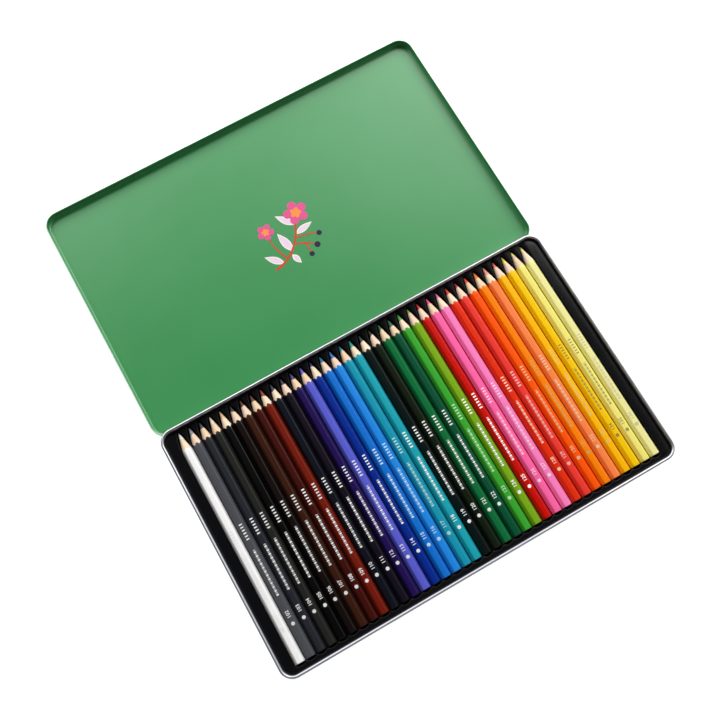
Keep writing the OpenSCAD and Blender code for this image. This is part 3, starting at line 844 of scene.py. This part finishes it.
def markOutlines():
    outlines = [ring((mark["dotAt"], 0), mark["dotWidth"] / 2, mark["dotWidth"] / 2, mark["dotSteps"])]
    for k in range(mark["beads"]):
        middle = mark["lineStart"] + k * mark["beadPitch"]
        outlines.append(ring((middle, 0), mark["beadLength"] / 2, mark["beadWidth"] / 2, mark["beadSteps"]))
        for side in (-1, 1):
            reel = middle + mark["beadPitch"] / 2 + side * mark["reelWidth"]
            outlines.append(bar(reel, mark["reelWidth"], mark["reelHeight"]))
    for k in range(mark["bars"]):
        outlines.append(bar(mark["barStart"] + k * mark["barPitch"], mark["barLength"], mark["barWidth"]))
    return outlines


def onTopFlat(butt, apothem, roll):
    # carries (along, across, lift) points to the pencil's top flat, turned by the pencil's roll;
    # a reader stands at the pencil's right, so across runs towards -X
    def place(points):
        along, across, lift = points.T
        up = apothem + lift
        return np.column_stack([butt[0] - across * math.cos(roll) - up * math.sin(roll), butt[1] + along,
                                butt[2] - across * math.sin(roll) + up * math.cos(roll)])
    return place


def numberPiece(name, digits, place, foil):
    # plain digits in the built-in typeface, made a thin solid and laid on the flat
    text = bpy.data.curves.new(name, "FONT")
    text.body, text.size, text.extrude = digits, mark["numberSize"], mark["foil"] / 2
    text.resolution_u, text.align_y = mark["numberCurve"], "CENTER"
    text.offset, text.space_character = mark["numberWeight"], mark["numberSpread"]
    shown = bpy.data.objects.new(name, text)
    bpy.context.scene.collection.objects.link(shown)
    mesh = bpy.data.meshes.new_from_object(shown.evaluated_get(bpy.context.evaluated_depsgraph_get()))
    bpy.data.objects.remove(shown)
    points = np.zeros(len(mesh.vertices) * 3)
    mesh.vertices.foreach_get("co", points)
    points = points.reshape(-1, 3) + (mark["numberAt"], 0, mark["lift"] + mark["foil"] / 2)
    mesh.vertices.foreach_set("co", (place(points) * mm).astype(np.float32).ravel())
    mesh.materials.clear()
    mesh.materials.append(foil)
    shell = bmesh.new()
    shell.from_mesh(mesh)
    bmesh.ops.remove_doubles(shell, verts=shell.verts, dist=1e-6)
    bmesh.ops.recalc_face_normals(shell, faces=shell.faces)
    shell.to_mesh(mesh)
    shell.free()
    piece = bpy.data.objects.new(name, mesh)
    bpy.context.scene.collection.objects.link(piece)
    return piece


for butt, apothem, roll, body, number, foil in pencilSpots:
    place = onTopFlat(butt, apothem, roll)
    top = mark["lift"] + mark["foil"]
    for piece in (slabPiece(body + "_ornament", markOutlines(), mark["lift"], top, foil, place),
                  numberPiece(body + "_number", str(mark["firstNumber"] + number - 1), place, foil)):
        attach(piece, body)
print("marks: foil on", len(pencilSpots), "pencils")


# one formed sheet: grooves as half hexagons, round scallops at the butts, arched niches at the tips and
# teeth with pointed noses between the niches
tray = {
    "sheet": 0.4, "sharpAngle": 55.0, "edgeRound": 0.45, "edgeTurns": (0, 25, 50, 70, 90),
    "buttRoom": 2.0, "tipRoom": 0.6, "grooveGap": 0.25, "ridgeDrop": 1.2, "creaseRound": 0.12,
    "ridgeRound": 0.1, "scallop": 5.5, "wallDraft": 0.2, "wallRise": 0.3, "wallFoot": 0.5,
    "archLength": 13.3, "archWidth": 7.5, "archSteps": 12, "nicheRound": 1.2, "nicheSteps": 8,
    "noseLength": 1.2, "noseGap": 0.05, "noseShares": (0.0, 0.45, 0.8), "fieldMargin": 0.83,
    "cornerRound": 7.3, "cornerSteps": 9, "shoulder": 0.8, "shoulderTurns": (0, 20, 40, 60, 80, 90),
    "skirtLean": 0.6,
}
trayLow, trayHigh = nodeBox("pencil_tray")
flangeTop = trayHigh[2]
fieldFront, fieldBack = trayLow[1] + tray["fieldMargin"], trayHigh[1] - tray["fieldMargin"]
grooveMiddles = np.array([butt[0] for butt, *_ in pencilSpots])
grooveHalf = (grooveMiddles[-1] - grooveMiddles[0]) / (len(grooveMiddles) - 1) / 2


def roundedDrop(distance, radius):
    # how far a rounded edge lies below the flat at this distance from the wall
    inside = np.clip(radius - distance, 0, radius)
    return radius - np.sqrt(radius ** 2 - inside ** 2)


def makeGrooves(finish):
    # rows of points across half a groove, from its front to its back, are mirrored and repeated
    butt, length, apothem = pencilSpot(pencilNodes[0])
    axis, half, edgeRound = butt[2], grooveHalf, tray["edgeRound"]
    slope = math.tan(math.radians(30))
    seat, ridge = apothem + tray["grooveGap"], axis - tray["ridgeDrop"]
    flat = seat * slope

    def groove(x):  # height of the half-hexagon groove at a distance from its middle
        return np.minimum(ridge, axis - seat + np.maximum(0, np.abs(x) - flat) / slope)

    # columns: closer together at the crease, at the ridge and round the edge of the flange
    ridgeFoot, arch = flat + (ridge - axis + seat) * slope, tray["archWidth"] / 2
    creaseRound, ridgeRound = tray["creaseRound"], tray["ridgeRound"]
    floorX = np.array([0, 0.5 * flat, flat - creaseRound, flat + creaseRound, (flat + ridgeFoot) / 2,
                       ridgeFoot - ridgeRound, ridgeFoot + ridgeRound, arch])
    edgeReach = edgeRound * (1 - np.cos(np.radians(tray["edgeTurns"])))
    across = np.concatenate([floorX, np.linspace(arch, half, edgeReach.size + 2)[1:]])
    scallopY = butt[1] - tray["buttRoom"] + tray["scallop"]
    archY = butt[1] + length + tray["tipRoom"] - tray["archLength"]
    noseY = archY - tray["noseLength"]

    def rowAt(y, z):
        return np.stack(np.broadcast_arrays(across, y, z), axis=-1)

    def scallopLine(distance):  # a circle round the scallop's middle, this far outside its edge
        return scallopY - np.sqrt((tray["scallop"] + distance) ** 2 - across ** 2)

    # front: from the flat flange over the rounded edge and down the scallop's wall
    rows = [rowAt(fieldFront, flangeTop)]
    rows += [rowAt(scallopLine(reach), flangeTop - roundedDrop(reach, edgeRound))
             for reach in edgeReach[::-1]]
    rows += [rowAt(scallopLine(-tray["wallDraft"]), groove(across) + tray["wallRise"]),
             rowAt(scallopLine(-tray["wallFoot"]), groove(across))]
    # straight grooves
    rows += [rowAt(y, groove(across)) for y in (scallopY, (scallopY + archY) / 2, noseY - tray["noseGap"])]
    # the ridge narrows to a point at the foot of each tooth's nose
    inner = floorX / arch * half
    foot = np.tile([half, noseY, ridge], (across.size - floorX.size, 1))
    rows.append(np.concatenate([np.stack([inner, 0 * inner + noseY, groove(inner)], axis=-1), foot]))
    # niches: the outline runs up the nose of a tooth, along a long arc and round the small end
    small = tray["nicheRound"]
    rise = tray["archLength"] - small
    long = (arch ** 2 + rise ** 2 - small ** 2) / (2 * (arch - small))
    meet = math.atan2(rise, long - arch)
    nose = np.array(tray["noseShares"])
    arc = np.linspace(0, meet, tray["archSteps"])
    end = np.linspace(meet, math.pi / 2, tray["nicheSteps"])[1:]
    outX = np.concatenate([half + (arch - half) * nose, arch - long + long * np.cos(arc),
                           small * np.cos(end)])
    outY = archY + np.concatenate([(nose - 1) * tray["noseLength"], long * np.sin(arc),
                                   rise + small * np.sin(end)])
    noseTilt = math.atan2(half - arch, tray["noseLength"])
    tilts = np.concatenate([np.full(nose.size, noseTilt), arc, end])
    # beside the arc the flange reaches the tooth's middle line, and round the end the field's back
    beside = nose.size + arc.size
    fieldX = np.concatenate([np.full(beside, half), half * (1 - np.arange(1, end.size + 1) / end.size)])
    fieldY = np.concatenate([outY[:beside - 1], np.full(end.size + 1, fieldBack)])
    for x, y, tilt, *field in zip(outX, outY, tilts, fieldX, fieldY):
        inner = floorX / arch * x
        floor = np.stack([inner, 0 * inner + y, groove(inner)], axis=-1)
        room = max(half - x, 0) / math.cos(tilt) if tilt <= meet else math.inf
        reach = np.minimum(edgeReach, room)  # near a nose the two rounded edges meet in a crease
        edge = np.stack([x + reach * math.cos(tilt), y + reach * math.sin(tilt),
                         flangeTop - roundedDrop(reach, edgeRound)], axis=-1)
        last = edge[-1:] if room < edgeRound else [[*field, flangeTop]]
        rows.append(np.concatenate([floor, edge, last]))
    unit = np.stack(rows)
    unit = np.concatenate([unit[:, :0:-1] * (-1, 1, 1), unit], axis=1)
    points = unit + grooveMiddles[:, None, None, None] * (1, 0, 0)
    firstPoint = np.arange(grooveMiddles.size) * unit.shape[0] * unit.shape[1]
    quads = (gridQuads(*unit.shape[:2]) + firstPoint[:, None, None]).reshape(-1, 4)
    return makePiece("formed_grooves", points, quads, [finish], closed=False, sharpAngle=tray["sharpAngle"])


def makeFlange(finish):
    # from the straight edge of the grooved field out to the round shoulder and down the skirt
    shoulder, fieldSide = tray["shoulder"], grooveMiddles[-1] + grooveHalf
    radius = tray["cornerRound"] - shoulder
    base, outward = roundedLoop(2 * (trayHigh[0] - shoulder), 2 * (trayHigh[1] - shoulder), radius,
                                tray["cornerSteps"])
    inner = np.clip(base + radius * outward, (-fieldSide, fieldFront), (fieldSide, fieldBack))
    field = np.column_stack([inner, np.full(len(inner), flangeTop)])
    profile = [(radius + shoulder * math.sin(turn), flangeTop - shoulder * (1 - math.cos(turn)))
               for turn in np.radians(tray["shoulderTurns"])]
    profile.append((radius + shoulder - tray["skirtLean"], trayLow[2]))
    points = np.stack([field, *carried(profile, (base, outward))])
    return makePiece("formed_flange", points, gridQuads(*points.shape[:2], wrapColumns=True), [finish],
                     closed=False, sharpAngle=tray["sharpAngle"])


grooves, flange = makeGrooves(polystyreneFinish()), makeFlange(polystyreneFinish())
for piece in (grooves, flange):
    solid(piece, tray["sheet"], sharpAngle=tray["sharpAngle"], offset=-1.0, even=False)
    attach(piece, "tray")
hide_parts("pencil_tray")
print("tray: grooves and flange")
